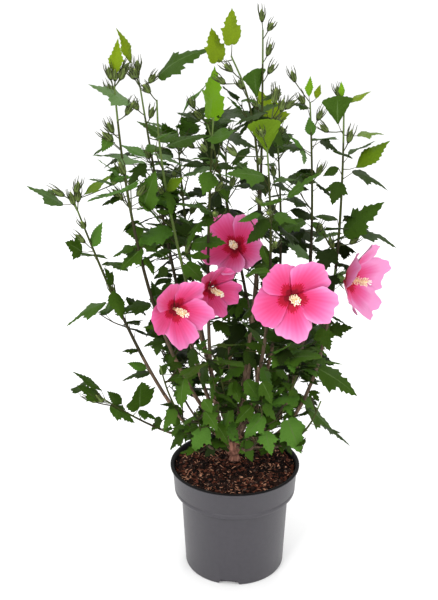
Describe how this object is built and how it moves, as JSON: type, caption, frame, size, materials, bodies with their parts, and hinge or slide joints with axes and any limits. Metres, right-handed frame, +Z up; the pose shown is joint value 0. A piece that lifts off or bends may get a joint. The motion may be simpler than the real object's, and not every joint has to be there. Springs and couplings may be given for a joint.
{
  "type": "potted hibiscus shrub",
  "caption": "Young flowering hibiscus shrub with upright leafy stems, buds and open pink blooms, standing in its round nursery pot of bark mulch.",
  "frame": {"origin": "centre of the pot's flat underside, on the ground", "axes": "+Z up along the pot's axis, -Y towards the side the largest bloom faces, +X to that viewer's right"},
  "size_m": [0.5586, 0.493, 0.9272],
  "materials": {
    "pot_plastic": "satin grey outside, black inside and on the lip",
    "potting_mix": "loose shredded bark and peat",
    "bark": "grey-brown young bark",
    "foliage": "matt green leaves, green buds and pink blooms"
  },
  "bodies": {
    "root": {"bough_back_left": "bark", "bough_back_mid": "bark", "bough_back_right": "bark", "bough_centre_back": "bark", "bough_centre_front": "bark", "bough_centre_lean": "bark", "bough_centre_left": "bark", "bough_centre_top": "bark", "bough_far_left": "bark", "bough_left": "bark", "bough_left_inner": "bark", "bough_left_mid": "bark", "bough_low_back": "bark", "bough_low_back_left": "bark", "bough_low_back_right": "bark", "bough_low_front_left": "bark", "bough_low_front_right": "bark", "bough_low_left": "bark", "bough_low_right": "bark", "bough_mid_front": "bark", "bough_mid_left": "bark", "bough_mid_right": "bark", "bough_right": "bark", "bough_right_back": "bark", "foliage_back_left": "foliage", "foliage_back_mid": "foliage", "foliage_back_right": "foliage", "foliage_centre_back": "foliage", "foliage_centre_front": "foliage", "foliage_centre_lean": "foliage", "foliage_centre_left": "foliage", "foliage_centre_top": "foliage", "foliage_far_left": "foliage", "foliage_left": "foliage", "foliage_left_inner": "foliage", "foliage_left_mid": "foliage", "foliage_low_back": "foliage", "foliage_low_back_left": "foliage", "foliage_low_back_right": "foliage", "foliage_low_front_left": "foliage", "foliage_low_front_right": "foliage", "foliage_low_left": "foliage", "foliage_low_right": "foliage", "foliage_mid_front": "foliage", "foliage_mid_left": "foliage", "foliage_mid_right": "foliage", "foliage_right": "foliage", "foliage_right_back": "foliage", "pot": "pot_plastic", "soil": "potting_mix", "trunk": "bark"}
  },
  "joints": []
}
